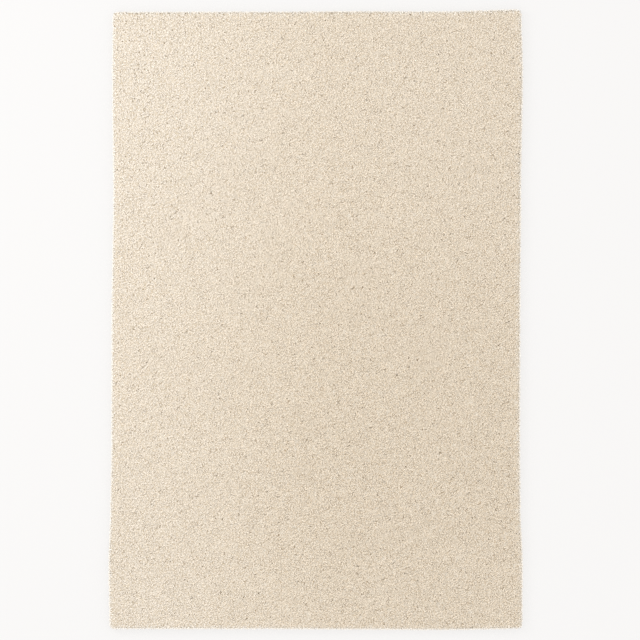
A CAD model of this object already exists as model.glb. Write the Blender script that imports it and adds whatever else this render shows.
from collections import namedtuple
from math import atan, cos, pi, radians, sin, tan

import bmesh
import bpy
import numpy as np
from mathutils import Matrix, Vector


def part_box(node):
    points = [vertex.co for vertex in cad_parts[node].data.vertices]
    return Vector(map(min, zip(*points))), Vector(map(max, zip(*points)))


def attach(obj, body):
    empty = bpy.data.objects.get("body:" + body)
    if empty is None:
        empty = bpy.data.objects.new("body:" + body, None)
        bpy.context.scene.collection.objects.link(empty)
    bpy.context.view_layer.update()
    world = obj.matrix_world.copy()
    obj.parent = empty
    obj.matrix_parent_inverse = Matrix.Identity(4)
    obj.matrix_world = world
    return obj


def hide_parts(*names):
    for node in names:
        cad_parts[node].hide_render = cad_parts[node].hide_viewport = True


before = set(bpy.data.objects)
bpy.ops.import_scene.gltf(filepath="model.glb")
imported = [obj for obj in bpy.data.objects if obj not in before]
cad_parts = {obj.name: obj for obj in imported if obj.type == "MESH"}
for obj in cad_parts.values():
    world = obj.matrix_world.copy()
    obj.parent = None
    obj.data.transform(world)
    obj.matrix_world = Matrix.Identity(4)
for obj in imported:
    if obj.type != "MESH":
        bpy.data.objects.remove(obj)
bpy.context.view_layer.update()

# ---------------------------------------------------------------------------------------------
# The rug's outline. A tufted rug is cut from its roll and hemmed, and then pulled a little out of
# true by the pile and by handling, so its edges stray from straight lines by a few millimetres.

MM = 0.001

# How far each edge strays outward. The long edges run from the foot of the rug to its head, and
# the short ones from left to right.
LongEdge = namedtuple("LongEdge", "share left right")
long_edges = (
    LongEdge(share=0.00, left=10 * MM, right=5 * MM),
    LongEdge(share=0.10, left=14 * MM, right=6 * MM),
    LongEdge(share=0.20, left=7 * MM, right=-2 * MM),
    LongEdge(share=0.30, left=3 * MM, right=-4 * MM),
    LongEdge(share=0.50, left=2 * MM, right=-3 * MM),
    LongEdge(share=0.70, left=-4 * MM, right=0),
    LongEdge(share=0.90, left=0, right=7 * MM),
    LongEdge(share=1.00, left=-2 * MM, right=2 * MM),
)
ShortEdge = namedtuple("ShortEdge", "share foot head")
short_edges = (
    ShortEdge(share=0.00, foot=-1 * MM, head=-2 * MM),
    ShortEdge(share=0.40, foot=-1 * MM, head=-1 * MM),
    ShortEdge(share=0.60, foot=1 * MM, head=1 * MM),
    ShortEdge(share=0.80, foot=3 * MM, head=0),
    ShortEdge(share=1.00, foot=-2 * MM, head=7 * MM),
)
corner_radius = 22 * MM
uneven_tips = 1 * MM  # what the longest locks of the solid stand past its edges
beyond_edges = 2.0  # every edge is nearer to the rug's middle than this
outline_rays = 12000
outline_halvings = 26

low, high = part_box("shag_rug")
line_left = low.x + max(row.left for row in long_edges) + uneven_tips
line_right = high.x - max(row.right for row in long_edges) - uneven_tips
line_foot = low.y + max(row.foot for row in short_edges) + uneven_tips
line_head = high.y - max(row.head for row in short_edges) - uneven_tips


def stray(rows, column, share):
    """One column of an edge table at some shares of the edge's length, eased from row to row."""
    shares = [row.share for row in rows]
    values = np.array([getattr(row, column) for row in rows])
    step = np.clip(np.searchsorted(shares, share, side="right") - 1, 0, len(rows) - 2)
    part = (share - np.take(shares, step)) / (np.take(shares, step + 1) - np.take(shares, step))
    part = np.clip(part, 0, 1)
    ease = part * part * (3 - 2 * part)
    return values[step] * (1 - ease) + values[step + 1] * ease


def edge_lines(x, y):
    """Where the four edges run, level with some places on the rug."""
    up = np.clip((y - line_foot) / (line_head - line_foot), 0, 1)
    across = np.clip((x - line_left) / (line_right - line_left), 0, 1)
    left = line_left - stray(long_edges, "left", up)
    right = line_right + stray(long_edges, "right", up)
    foot = line_foot - stray(short_edges, "foot", across)
    head = line_head + stray(short_edges, "head", across)
    return left, right, foot, head


def inside_by(x, y):
    """How far some places lie inside the rug's edge, with its corners rounded."""
    left, right, foot, head = edge_lines(x, y)
    sides = np.minimum(x - left, right - x)
    ends = np.minimum(y - foot, head - y)
    near_corner = (sides < corner_radius) & (ends < corner_radius)
    turned = corner_radius - np.hypot(corner_radius - sides, corner_radius - ends)
    return np.where(near_corner, turned, np.minimum(sides, ends))


def outward_at(x, y):
    """The direction to the nearest edge, from some places on the rug."""
    step = 1 * MM
    slope = np.stack([inside_by(x - step, y) - inside_by(x + step, y),
                      inside_by(x, y - step) - inside_by(x, y + step)], axis=-1)
    return slope / np.maximum(np.linalg.norm(slope, axis=-1, keepdims=True), 1e-9)


def round_ring(ring, distances, wanted):
    """Points at the wanted distances round a closed ring, whose own points are at distances."""
    closed = np.concatenate([ring, ring[:1]])
    return np.stack([np.interp(wanted, distances, closed[:, axis]) for axis in (0, 1)], axis=-1)


def outline(inset, spacing):
    """Points round the rug at an even spacing, as far inside its edge as inset says."""
    middle_x, middle_y = (line_left + line_right) / 2, (line_foot + line_head) / 2
    turn = np.linspace(-pi, pi, outline_rays, endpoint=False)
    # A ray from the middle meets the edge at a distance that halving the interval finds.
    near, far = np.zeros_like(turn), np.full_like(turn, beyond_edges)
    for _ in range(outline_halvings):
        reach = (near + far) / 2
        within = inside_by(middle_x + reach * np.cos(turn), middle_y + reach * np.sin(turn)) > inset
        near, far = np.where(within, reach, near), np.where(within, far, reach)
    ring = np.stack([middle_x + near * np.cos(turn), middle_y + near * np.sin(turn)], axis=-1)
    steps = np.linalg.norm(np.roll(ring, -1, axis=0) - ring, axis=1)
    travelled = np.concatenate([[0], np.cumsum(steps)])
    count = int(travelled[-1] / spacing)
    return round_ring(ring, travelled, np.linspace(0, travelled[-1], count, endpoint=False))


# ---------------------------------------------------------------------------------------------
# The ground cloth: a close plain weave of cotton and jute that the pile is tufted through. Its
# edge is turned under and stuck down as a hem, so it is thicker there. It lies on the floor.

cloth_inset = 19 * MM
cloth_thickness = 2.2 * MM
hem_width = 26 * MM
hem_thickness = 1.4 * MM
hem_tail = 1.6  # the cloth is drawn in rings as far in from its edge as this many hem widths
cloth_fold = 1 * MM
cloth_grid = 40 * MM
thread_pitch = 4 * MM  # the real threads are 1.5 mm apart, too fine to show
THREAD_COLOURS = "#CDBB9A", "#A8946F"


def linear(hex_colour):
    """An sRGB hex colour as the linear RGBA that the shaders take."""
    parts = [int(hex_colour[at:at + 2], 16) / 255 for at in (1, 3, 5)]
    return (*[part / 12.92 if part <= 0.04045 else ((part + 0.055) / 1.055) ** 2.4
              for part in parts], 1.0)


def add(tree, kind, inputs=(), **settings):
    """Adds a node with its settings. Each input is a value, or the output socket that feeds it."""
    node = tree.nodes.new("ShaderNode" + kind)
    for name, value in settings.items():
        setattr(node, name, value)
    for name, value in dict(inputs).items():
        if isinstance(value, bpy.types.NodeSocket):
            tree.links.new(value, node.inputs[name])
        else:
            node.inputs[name].default_value = value
    return node


def new_material(name):
    """A material that has no nodes yet, and its tree."""
    material = bpy.data.materials.new(name)
    material.use_nodes = True
    material.node_tree.nodes.clear()
    return material, material.node_tree


def as_piece(name, mesh, material):
    """Shades a mesh smooth, gives it its material, and puts it in the scene as a piece."""
    mesh.shade_smooth()
    mesh.materials.append(material)
    piece = bpy.data.objects.new(name, mesh)
    bpy.context.scene.collection.objects.link(piece)
    return piece


def mesh_object(name, points, faces, material):
    """A piece made of points and faces. A face is a row of point numbers, filled up with -1 where
    it has fewer corners than the others."""
    faces = np.asarray(faces)
    used = faces >= 0
    mesh = bpy.data.meshes.new(name)
    mesh.vertices.add(len(points))
    mesh.vertices.foreach_set("co", np.asarray(points, np.float32).ravel())
    mesh.loops.add(int(used.sum()))
    mesh.loops.foreach_set("vertex_index", faces[used].astype(np.int32))
    mesh.polygons.add(len(faces))
    starts = np.concatenate([[0], np.cumsum(used.sum(axis=1))[:-1]])
    mesh.polygons.foreach_set("loop_start", starts.astype(np.int32))
    mesh.update(calc_edges=True)
    return as_piece(name, mesh, material)


# Woven cotton and jute: dry, matt threads that cross, each a little thicker in places.
woven_ground, tree = new_material("woven cotton and jute ground cloth")
place = add(tree, "TexCoord").outputs["Object"]
thread_scale = 2 * pi / 20 / thread_pitch  # a wave of scale 1 repeats every 2 pi / 20
warp, weft = [
    add(tree, "TexWave", {"Vector": place, "Scale": thread_scale, "Distortion": 0.6, "Detail": 1.0},
        wave_type="BANDS", bands_direction=direction, wave_profile="SIN")
    for direction in ("X", "Y")
]
threads = add(tree, "Math", {0: warp.outputs["Fac"], 1: weft.outputs["Fac"]}, operation="MAXIMUM")
slubs = add(tree, "TexNoise", {"Vector": place, "Scale": 1 / (35 * MM), "Detail": 3.0})
tone = add(tree, "Math", {0: threads.outputs[0], 1: slubs.outputs["Fac"]}, operation="MULTIPLY")
colour = add(tree, "Mix", {"Factor": tone.outputs[0], "A": linear(THREAD_COLOURS[1]),
                           "B": linear(THREAD_COLOURS[0])}, data_type="RGBA")
relief = add(tree, "Bump", {"Height": threads.outputs[0], "Strength": 0.6, "Distance": 0.5 * MM})
cloth = add(tree, "BsdfPrincipled", {"Base Color": colour.outputs["Result"], "Roughness": 0.9,
                                     "Sheen Weight": 0.15, "Normal": relief.outputs["Normal"]})
add(tree, "OutputMaterial", {"Surface": cloth.outputs["BSDF"]})


def hemmed_cloth():
    """A closed sheet: rings of points from the middle of its top, over the edge and back under the
    hem, as pairs of inset and height. Gives its points, its faces and the length of a ring."""
    rings = (
        (cloth_inset + hem_width * hem_tail, cloth_thickness + hem_thickness),
        (cloth_inset + hem_width, cloth_thickness + hem_thickness),
        (cloth_inset + cloth_fold, cloth_thickness + hem_thickness),
        (cloth_inset, cloth_thickness),
        (cloth_inset, hem_thickness * 0.4),
        (cloth_inset + cloth_fold, 0),
        (cloth_inset + hem_width, 0),
        (cloth_inset + hem_width + cloth_fold * 0.6, hem_thickness),
        (cloth_inset + hem_width * hem_tail, hem_thickness),
    )
    count = len(outline(cloth_inset, cloth_grid))
    points, faces = [], []
    for inset, height in rings:
        ring = outline(inset, cloth_grid)
        wanted = np.linspace(0, len(ring), count, endpoint=False)
        ring = round_ring(ring, np.arange(len(ring) + 1), wanted)
        points.append(np.column_stack([ring, np.full(count, height)]))
    for ring in range(len(rings) - 1):
        here = ring * count + np.arange(count)
        there = ring * count + (np.arange(count) + 1) % count
        faces.append(np.stack([here, here + count, there + count, there], axis=-1))
    return np.concatenate(points), np.concatenate(faces), count


points, faces, ring_length = hemmed_cloth()
ground = mesh_object("ground_cloth", points, faces, woven_ground)
bm = bmesh.new()
bm.from_mesh(ground.data)
bm.verts.ensure_lookup_table()
bm.faces.new(bm.verts[:ring_length])
bm.faces.new(bm.verts[-ring_length:])
bmesh.ops.recalc_face_normals(bm, faces=bm.faces)
bmesh.ops.triangulate(bm, faces=[face for face in bm.faces if len(face.verts) > 4])
bm.to_mesh(ground.data)
bm.free()
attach(ground, "root")
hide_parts("shag_rug")

# ---------------------------------------------------------------------------------------------
# The bed of the pile: the lower lengths of the tufts, which stand so close that they read as one
# springy, lumpy mass. It shows between the locks, which lie half sunk in it, and in small pits.

bed_grid = 9 * MM
bed_edge = 4.5 * MM
bed_height = 24.6 * MM
bed_worn = 1.5 * MM  # how far it is trodden down where the rug is walked on most
bed_edge_height = 0.97  # as a share of its height
bed_lumps = 0.5 * MM
bed_clearance = 0.3 * MM  # above the ground cloth
pit_every = 5  # one pit in each square of this many cells a side
pit_depth = 5 * MM
bed_yarn_width = 6.5 * MM
bed_ply_pitch = 3.5 * MM
bed_relief = 2 * MM
hollow_share = 0.18
BED_COLOURS = "#E8D9C1", "#F7EDDD"
HOLLOW_COLOUR = "#806A49"
rng = np.random.default_rng(7)

# Where the pile is trodden: more and more over this width from the left, and over this length from
# a little below the head, and less again over the last stretch at the foot.
wear_width = 0.95
wear_starts = 0.1
wear_length = 1.5
spared_foot = 0.4
wear_across = 0.65
wear_down = 0.35
wear_spared = 0.13


def wear(x, y):
    """How trodden the pile is at some places: 0 at the left of the head, near 1 at the right of the
    middle and below it, and a little less again at the foot."""
    across = np.clip((x - line_left) / wear_width, 0, 1)
    down = np.clip((line_head - wear_starts - y) / wear_length, 0, 1)
    foot = np.clip((line_foot + spared_foot - y) / spared_foot, 0, 1)
    across = across * across * (3 - 2 * across)
    down = down * down * (3 - 2 * down)
    return wear_across * across + wear_down * down - wear_spared * foot


# The same soft twisted yarn, packed: each cell of the pattern is the side of one bent yarn, domed,
# of a shade of its own, with its plies wound across it, and darker where it meets the next. Here
# and there a cell is a hollow between yarns instead, and dark.
packed_tufts, tree = new_material("packed pile yarn")
place = add(tree, "TexCoord").outputs["Object"]
yarns = add(tree, "TexVoronoi", {"Vector": place, "Scale": 1 / bed_yarn_width})
domed = add(tree, "MapRange", {"Value": yarns.outputs["Distance"], "From Min": 0.15, "From Max": 0.75,
                               "To Min": 1.0, "To Max": 0.0}, interpolation_type="SMOOTHSTEP")
own = add(tree, "SeparateColor", {"Color": yarns.outputs["Color"]})
turn = add(tree, "Math", {0: own.outputs["Green"], 1: 2 * pi}, operation="MULTIPLY")
turned = add(tree, "VectorRotate", {"Vector": place, "Angle": turn.outputs[0]}, rotation_type="Z_AXIS")
plies_wound = add(tree, "TexWave", {"Vector": turned.outputs["Vector"],
                                    "Scale": 2 * pi / 20 / bed_ply_pitch})
colour = add(tree, "Mix", {"Factor": own.outputs["Red"], "A": linear(BED_COLOURS[0]),
                           "B": linear(BED_COLOURS[1])}, data_type="RGBA")
hollow = add(tree, "MapRange", {"Value": own.outputs["Blue"], "From Max": hollow_share,
                                "To Min": 1.0, "To Max": 0.0}, interpolation_type="SMOOTHSTEP")
hollow = add(tree, "Math", {0: hollow.outputs["Result"], 1: domed.outputs["Result"]},
             operation="MULTIPLY")
colour = add(tree, "Mix", {"Factor": hollow.outputs[0], "A": colour.outputs["Result"],
                           "B": linear(HOLLOW_COLOUR)}, data_type="RGBA")
seam = add(tree, "MapRange", {"Value": domed.outputs["Result"], "To Min": 0.80})
furrow = add(tree, "MapRange", {"Value": plies_wound.outputs["Fac"], "To Min": 0.88})
shade = add(tree, "Math", {0: seam.outputs["Result"], 1: furrow.outputs["Result"]},
            operation="MULTIPLY")
colour = add(tree, "Mix", {"Factor": 1.0, "A": colour.outputs["Result"], "B": shade.outputs[0]},
             data_type="RGBA", blend_type="MULTIPLY")
height = add(tree, "Math", {0: plies_wound.outputs["Fac"], 1: 0.25, 2: domed.outputs["Result"]},
             operation="MULTIPLY_ADD")
relief = add(tree, "Bump", {"Height": height.outputs[0], "Strength": 1.0, "Distance": bed_relief})
fibre = add(tree, "BsdfPrincipled", {"Base Color": colour.outputs["Result"], "Roughness": 1.0,
                                     "Sheen Weight": 0.2, "Normal": relief.outputs["Normal"]})
add(tree, "OutputMaterial", {"Surface": fibre.outputs["BSDF"]})

columns = int((line_right - line_left) / bed_grid)
rows = int((line_head - line_foot) / bed_grid)
bm = bmesh.new()
bmesh.ops.create_grid(bm, x_segments=columns, y_segments=rows, size=1)
x = np.array([vert.co.x for vert in bm.verts]) * 0.5 + 0.5
y = np.array([vert.co.y for vert in bm.verts]) * 0.5 + 0.5
at_edge = np.array([vert.is_boundary for vert in bm.verts])
x = line_left + (line_right - line_left) * x
y = line_foot + (line_head - line_foot) * y
left, right, foot, head = edge_lines(x, y)
x = left + bed_edge + (right - left - 2 * bed_edge) * (x - line_left) / (line_right - line_left)
y = foot + bed_edge + (head - foot - 2 * bed_edge) * (y - line_foot) / (line_head - line_foot)
height = bed_height - bed_worn * wear(x, y) + bed_lumps * rng.uniform(-1, 1, len(x))
# The pits: the points are ordered by square and shuffled within it, and the first of each drops.
pit_square = pit_every * bed_grid
squares = np.stack([(x - line_left) // pit_square, (y - line_foot) // pit_square])
_, square = np.unique(squares, axis=1, return_inverse=True)
order = np.lexsort((rng.uniform(0, 1, len(x)), square.ravel()))
first = np.append(True, np.diff(square.ravel()[order]) > 0)
height[order[first]] -= pit_depth
height[at_edge] = bed_height * bed_edge_height
for vert, *place in zip(bm.verts, x, y, height):
    vert.co = place
rim = [edge for edge in bm.edges if edge.is_boundary]
skirt = bmesh.ops.extrude_edge_only(bm, edges=rim)["geom"]
for item in skirt:
    if isinstance(item, bmesh.types.BMVert):
        item.co.z = cloth_thickness + hem_thickness + bed_clearance
rim = [item for item in skirt if isinstance(item, bmesh.types.BMEdge) and item.is_boundary]
bmesh.ops.contextual_create(bm, geom=rim)
bmesh.ops.recalc_face_normals(bm, faces=bm.faces)
mesh = bpy.data.meshes.new("pile_bed")
bm.to_mesh(mesh)
bm.free()
bed = as_piece("pile_bed", mesh, packed_tufts)
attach(bed, "root")

# ---------------------------------------------------------------------------------------------
# The pile: cut ends of a thick, soft, two-ply yarn, tufted in rows a good 6 mm apart. They have
# fallen over each other every way, so from above their sides and ends show, with a few dark pits.

tuft_pitch = 6.5 * MM
tuft_stray = 0.34  # as a share of the pitch
spare_rows = 4  # so that the rows also reach where the edge strays outward
yarn_width = 8.5 * MM
first_row_inset = 7.5 * MM
pile_height = 24.5 * MM
pile_unevenness = 1.2 * MM
root_height = 18 * MM
strips = 6

tints = 16
TINT_COLOURS = "#E5D6BF", "#F2E6D4", "#F8EFE2", "#FFF9EF"  # the last is for the rug's edges
ROOT_TINT = "#F0E6D6"
root_shade_starts = 0.05  # these two are shares of a lock's length
root_shade_ends = 0.40
plies = 2
ply_turns = 2.2
ply_furrow = 0.94

# Soft twisted yarn of long staple: matt, with a slight lustre. Its two plies wind round each other
# with a shaded furrow between, its shade varies from end to end, and it is deeper at the root.
pile_yarn, tree = new_material("twisted pile yarn")
apart = add(tree, "SeparateXYZ", {"Vector": add(tree, "UVMap", uv_map="OFBake").outputs["UV"]})
column = add(tree, "Math", {0: apart.outputs["X"], 1: float(tints)}, operation="MULTIPLY")
around = add(tree, "Math", {0: column.outputs[0]}, operation="FRACT")
shade = add(tree, "Math", {0: column.outputs[0]}, operation="FLOOR")
shade = add(tree, "Math", {0: shade.outputs[0], 1: float(tints - 1)}, operation="DIVIDE")
yarn = add(tree, "ValToRGB", {"Fac": shade.outputs[0]})
yarn.color_ramp.elements[0].color = linear(TINT_COLOURS[0])
yarn.color_ramp.elements[1].color = linear(TINT_COLOURS[3])
yarn.color_ramp.elements.new(0.4).color = linear(TINT_COLOURS[1])
yarn.color_ramp.elements.new(0.8).color = linear(TINT_COLOURS[2])
wound = add(tree, "Math", {0: apart.outputs["Y"], 1: ply_turns, 2: around.outputs[0]},
            operation="MULTIPLY_ADD")
wound = add(tree, "Math", {0: wound.outputs[0], 1: 2 * pi * plies}, operation="MULTIPLY")
ply = add(tree, "Math", {0: wound.outputs[0]}, operation="SINE")
ply = add(tree, "MapRange", {"Value": ply.outputs[0], "From Min": -1.0})
furrow = add(tree, "MapRange", {"Value": ply.outputs["Result"], "To Min": ply_furrow})
depth = add(tree, "ValToRGB", {"Fac": apart.outputs["Y"]})
depth.color_ramp.elements[0].color = linear(ROOT_TINT)
depth.color_ramp.elements[0].position = root_shade_starts
depth.color_ramp.elements[1].color = (1, 1, 1, 1)
depth.color_ramp.elements[1].position = root_shade_ends
shaded = add(tree, "Mix", {"Factor": 1.0, "A": yarn.outputs["Color"], "B": depth.outputs["Color"]},
             data_type="RGBA", blend_type="MULTIPLY")
shaded = add(tree, "Mix", {"Factor": 1.0, "A": shaded.outputs["Result"],
                           "B": furrow.outputs["Result"]}, data_type="RGBA", blend_type="MULTIPLY")
relief = add(tree, "Bump", {"Height": ply.outputs["Result"], "Strength": 0.5, "Distance": 1 * MM})
fibre = add(tree, "BsdfPrincipled", {"Base Color": shaded.outputs["Result"], "Roughness": 0.85,
                                     "Specular IOR Level": 0.3, "Sheen Weight": 0.25,
                                     "Sheen Roughness": 0.5, "Normal": relief.outputs["Normal"]})
add(tree, "OutputMaterial", {"Surface": fibre.outputs["BSDF"]})

# A lock is a three-sided tube of yarn on a bent line, which ends in a low point.
Station = namedtuple("Station", "along girth")
stations = (Station(along=0.00, girth=0.75), Station(along=0.75, girth=1.00))
sides = 3
lock_twist = radians(75)
nearly_up = (0.13, 0.0, 0.99)  # no lock runs just this way, so it can set each one's level
column_margin = 0.06  # of a tint's column of the map, so that no tint bleeds into the next
map_margin = 0.02


def lock_mesh(name, root, knee, tip, width, roll, tint):
    """One piece of many locks. Its map has a column for each tint, with the root at the bottom."""
    rings = []
    for station in stations:
        t = station.along
        centre = root * (1 - t) ** 2 + knee * 2 * t * (1 - t) + tip * t * t
        along = (knee - root) * (1 - t) + (tip - knee) * t
        along /= np.linalg.norm(along, axis=1, keepdims=True)
        level = np.cross(along, nearly_up)
        level /= np.linalg.norm(level, axis=1, keepdims=True)
        upper = np.cross(level, along)
        for side in range(sides):
            turn = (roll + lock_twist * t + 2 * pi * side / sides)[:, None]
            offset = level * np.cos(turn) + upper * np.sin(turn)
            rings.append(centre + offset * (width / 2 * station.girth)[:, None])
    points = np.stack(rings + [tip], axis=1)

    foot_v, shoulder_v = (station.along for station in stations)
    faces, spots = [], []
    for side in range(sides):
        here, beside = side, (side + 1) % sides
        faces.append((beside, here, here + sides, beside + sides))
        spots += [(side + 1, foot_v), (side, foot_v), (side, shoulder_v), (side + 1, shoulder_v)]
    for side in range(sides):
        faces.append((sides + (side + 1) % sides, sides + side, 2 * sides, -1))
        spots += [(side + 1, shoulder_v), (side, shoulder_v), (side + 0.5, 1)]
    faces, spots = np.array(faces), np.array(spots)
    every = faces[None] + points.shape[1] * np.arange(len(root))[:, None, None]
    every[:, faces < 0] = -1
    piece = mesh_object(name, points.reshape(-1, 3), every.reshape(-1, 4), pile_yarn)

    across = column_margin + (1 - 2 * column_margin) * spots[None, :, 0] / sides
    u = (tint[:, None] + across) / tints
    v = np.broadcast_to(map_margin + (1 - 2 * map_margin) * spots[None, :, 1], u.shape)
    layer = piece.data.uv_layers.new(name="OFBake")
    layer.uv.foreach_set("vector", np.stack([u, v], axis=-1).astype(np.float32).ravel())
    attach(piece, "root")
    return piece


def tint_number(tone):
    """The tint of each lock, by number, from how light it is between 0 and 1."""
    return np.clip((tone * tints).astype(int), 0, tints - 1)


# Where the tufts stand.
columns = int((line_right - line_left) / tuft_pitch) + spare_rows
rows = int((line_head - line_foot) / tuft_pitch) + spare_rows
x, y = np.meshgrid(np.arange(columns) - columns / 2, np.arange(rows) - rows / 2, indexing="ij")
x = (line_left + line_right) / 2 + tuft_pitch * (x.ravel() + rng.uniform(-1, 1, x.size) * tuft_stray)
y = (line_foot + line_head) / 2 + tuft_pitch * (y.ravel() + rng.uniform(-1, 1, y.size) * tuft_stray)
kept = inside_by(x, y) > first_row_inset
x, y = x[kept], y[kept]
count = len(x)

# Here and there the pile parts along a short line, as a finger drawn through it would leave.
partings = 24
parting_width = 4.5 * MM
parting_reach = 11 * MM
parting_lengths = 16 * MM, 44 * MM
parting_slants = 35, 60, 120, 150  # degrees from straight across the rug
slant_spread = 0.25
open_x, open_y = np.zeros(count), np.zeros(count)
for _ in range(partings):
    middle_x = rng.uniform(line_left, line_right)
    middle_y = rng.uniform(line_foot, line_head)
    length = rng.uniform(*parting_lengths)
    slant = radians(rng.choice(parting_slants)) + rng.normal(0, slant_spread)
    along = (x - middle_x) * np.cos(slant) + (y - middle_y) * np.sin(slant)
    across = (y - middle_y) * np.cos(slant) - (x - middle_x) * np.sin(slant)
    gap = np.clip(1 - (2 * along / length) ** 2, 0, 1) * np.clip(1 - abs(across) / parting_reach, 0, 1)
    gap *= np.sign(across) * parting_width / 2
    open_x -= gap * np.sin(slant)
    open_y += gap * np.cos(slant)

# How each tuft lies: at random, but brushed a little one way, and outward near the edge. It rises
# from its root to a knee and comes down again to its tip.
knee_share = 0.35
knee_rise = 2.5 * MM
tip_stray = 0.5 * MM
root_opening = 0.4  # how far the root follows a parting, as a share of how far the tip does
run_mean = 10 * MM
run_spread = 3.0 * MM
brushed = 0.4
brushed_towards = radians(-135)
edge_zone = 9 * MM
edge_lean = 1.2
edge_drop = 0.5 * MM
edge_shortening = 0.2
width_spread = 0.14
lie = rng.uniform(-pi, pi, count)
heading = np.stack([np.cos(lie), np.sin(lie)], axis=-1)
heading += brushed * np.array([cos(brushed_towards), sin(brushed_towards)])
near_edge = np.clip(1 - (inside_by(x, y) - first_row_inset) / edge_zone, 0, 1)
heading += outward_at(x, y) * near_edge[:, None] * edge_lean
heading /= np.linalg.norm(heading, axis=1, keepdims=True)
run = (run_mean + run_spread * rng.uniform(-1, 1, count)) * (1 - edge_shortening * near_edge)
top = pile_height + pile_unevenness * rng.uniform(-1, 1, count) - edge_drop * near_edge

root = np.column_stack([x + open_x * root_opening, y + open_y * root_opening,
                        np.full(count, root_height)])
knee = np.column_stack([x + open_x, y + open_y, top + knee_rise])
knee[:, :2] += heading * (run * knee_share)[:, None]
tip = np.column_stack([x + open_x, y + open_y, top + tip_stray * rng.uniform(-1, 1, count)])
tip[:, :2] += heading * run[:, None]
width = yarn_width * (1 + width_spread * rng.uniform(-1, 1, count))
roll = rng.uniform(0, 2 * pi, count)

# The shade of each tuft. The yarn is a little duller where the rug is trodden most, and fresher
# along its edges.
fresh_tone = 0.8
worn_shade = 0.46
edge_fresh = 0.6
shade_spread = 0.12
tint = tint_number(fresh_tone - worn_shade * wear(x, y) + edge_fresh * near_edge
                    - shade_spread * abs(rng.normal(0, 1, count)))

strip_of = np.clip(((x - line_left) / (line_right - line_left) * strips).astype(int), 0, strips - 1)
for strip in range(strips):
    here = strip_of == strip
    lock_mesh(f"pile_strip_{strip + 1}", root[here], knee[here], tip[here],
                          width[here], roll[here], tint[here])

# ---------------------------------------------------------------------------------------------
# The locks at the rim: the same yarn, in the outermost tufts. They have nothing to lean on, so
# they spill over the edge of the ground cloth in layers and the lowest ones lie on the floor.

Layer = namedtuple("Layer", "inset root_height knee_height tip_height past")
layers = (
    Layer(inset=14 * MM, root_height=4.5 * MM, knee_height=7 * MM, tip_height=4 * MM, past=-3 * MM),
    Layer(inset=13 * MM, root_height=6 * MM, knee_height=17 * MM, tip_height=12.5 * MM, past=-1.5 * MM),
    Layer(inset=11 * MM, root_height=9 * MM, knee_height=25 * MM, tip_height=20.5 * MM, past=-0.5 * MM),
    Layer(inset=9 * MM, root_height=13 * MM, knee_height=28 * MM, tip_height=24 * MM, past=0),
)
rim_spacing = 4.6 * MM
rim_sway = 3 * MM
knee_reach = 0.5  # how far out the knee is, and how far it sways, as shares of the tip's
knee_sway = 0.3
rim_reach_spread = 2 * MM
rim_knee_spread = 1.5 * MM
rim_tip_spread = 1.2 * MM
rim_shade_spread = 0.10
rim_parts = []
for layer in layers:
    ring = outline(layer.inset, rim_spacing)
    count = len(ring)
    out = outward_at(ring[:, 0], ring[:, 1])
    beside = np.stack([-out[:, 1], out[:, 0]], axis=-1)
    sway = rim_sway * rng.normal(0, 1, count)
    reach_out = layer.inset + layer.past + rim_reach_spread * rng.uniform(-1, 1, count)
    root = np.column_stack([ring, np.full(count, layer.root_height)])
    knee = root.copy()
    knee[:, :2] += out * (knee_reach * reach_out)[:, None] + beside * (knee_sway * sway)[:, None]
    knee[:, 2] = layer.knee_height + rim_knee_spread * rng.uniform(-1, 1, count)
    tip = root.copy()
    tip[:, :2] += out * reach_out[:, None] + beside * sway[:, None]
    tip[:, 2] = layer.tip_height + rim_tip_spread * rng.uniform(0, 1, count)
    width = yarn_width * (1 + width_spread * rng.uniform(-1, 1, count))
    tint = tint_number(1 - rim_shade_spread * abs(rng.normal(0, 1, count)))
    rim_parts.append((root, knee, tip, width, rng.uniform(0, 2 * pi, count), tint))
lock_mesh("rim_locks", *[np.concatenate(part) for part in zip(*rim_parts)])

# ---------------------------------------------------------------------------------------------
# The floor and the light: a pale studio sweep, lit evenly, with one soft light to the left and
# towards the head of the rug.

FLOOR_COLOUR = "#F9F8F7"
floor_glow = 0.77  # the share of its tone that no shadow darkens
floor_strength = 0.92
floor_size = 400
floor_drop = 0.2 * MM  # below the underside of the rug, so that the two don't meet in one plane
sky_strength = 1.26
key_place = (-3.7, 1.7, 2.9)
key_size = 1.6, 2.2
key_power = 50

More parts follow.
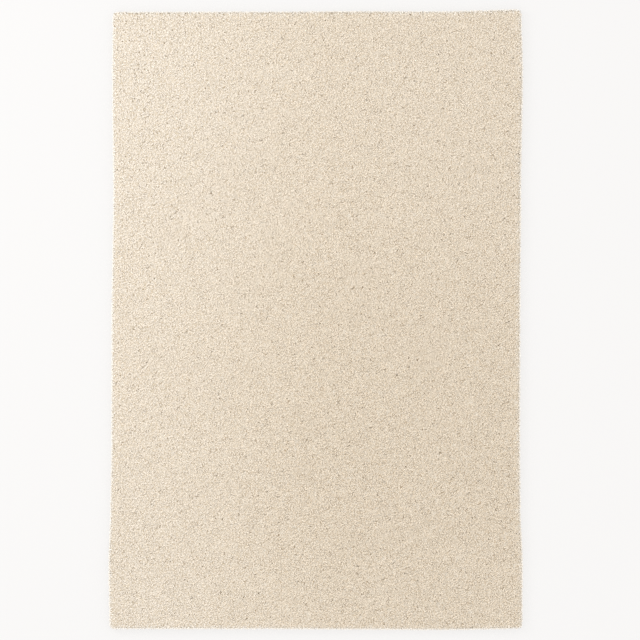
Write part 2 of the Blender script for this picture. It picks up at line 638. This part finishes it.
pale_floor, tree = new_material("painted studio floor")
paint = add(tree, "BsdfDiffuse", {"Color": linear(FLOOR_COLOUR)})
glow = add(tree, "Emission", {"Color": linear(FLOOR_COLOUR), "Strength": floor_strength})
floor_mix = add(tree, "MixShader", {0: floor_glow, 1: paint.outputs[0], 2: glow.outputs[0]})
add(tree, "OutputMaterial", {"Surface": floor_mix.outputs[0]})
bpy.ops.mesh.primitive_plane_add(size=floor_size, location=(0, 0, -floor_drop))
floor = bpy.context.object
floor.name = "floor"
floor.data.materials.append(pale_floor)

world = bpy.data.worlds.new("studio")
bpy.context.scene.world = world
world.use_nodes = True
sky = world.node_tree.nodes["Background"]
sky.inputs["Color"].default_value = linear(FLOOR_COLOUR)
sky.inputs["Strength"].default_value = sky_strength

key = bpy.data.objects.new("key", bpy.data.lights.new("key", "AREA"))
key.data.shape = "RECTANGLE"
key.data.size, key.data.size_y = key_size
key.data.energy = key_power
key.location = key_place
key.rotation_euler = (-key.location).to_track_quat("-Z", "Y").to_euler()
bpy.context.scene.collection.objects.link(key)

# ---------------------------------------------------------------------------------------------
# The camera: straight above the rug, with a long lens, as the photograph was taken. The rug's
# middle lies a few pixels left of the frame's.

photo_side = 640
photo_pixel = 3.882 * MM
rug_middle_px = (316.65, 320.3)
lens = 200
mid_pile = 24 * MM  # the height at which a pixel has that size
far_end = 100  # how far the camera sees

camera = bpy.data.objects.new("camera", bpy.data.cameras.new("camera"))
camera.data.lens = lens
half_angle = atan(camera.data.sensor_width / 2 / lens)
frame_width = photo_side * photo_pixel
camera.location = (
    (line_left + line_right) / 2 + (photo_side / 2 - rug_middle_px[0]) * photo_pixel,
    (line_foot + line_head) / 2 - (photo_side / 2 - rug_middle_px[1]) * photo_pixel,
    mid_pile + frame_width / 2 / tan(half_angle),
)
camera.data.clip_end = far_end
bpy.context.scene.collection.objects.link(camera)
bpy.context.scene.camera = camera
bpy.context.scene.view_settings.view_transform = "Standard"
# The pile's grain is finer than what the denoiser takes for detail, unless it reads colour alone.
bpy.context.scene.cycles.denoising_input_passes = "RGB"
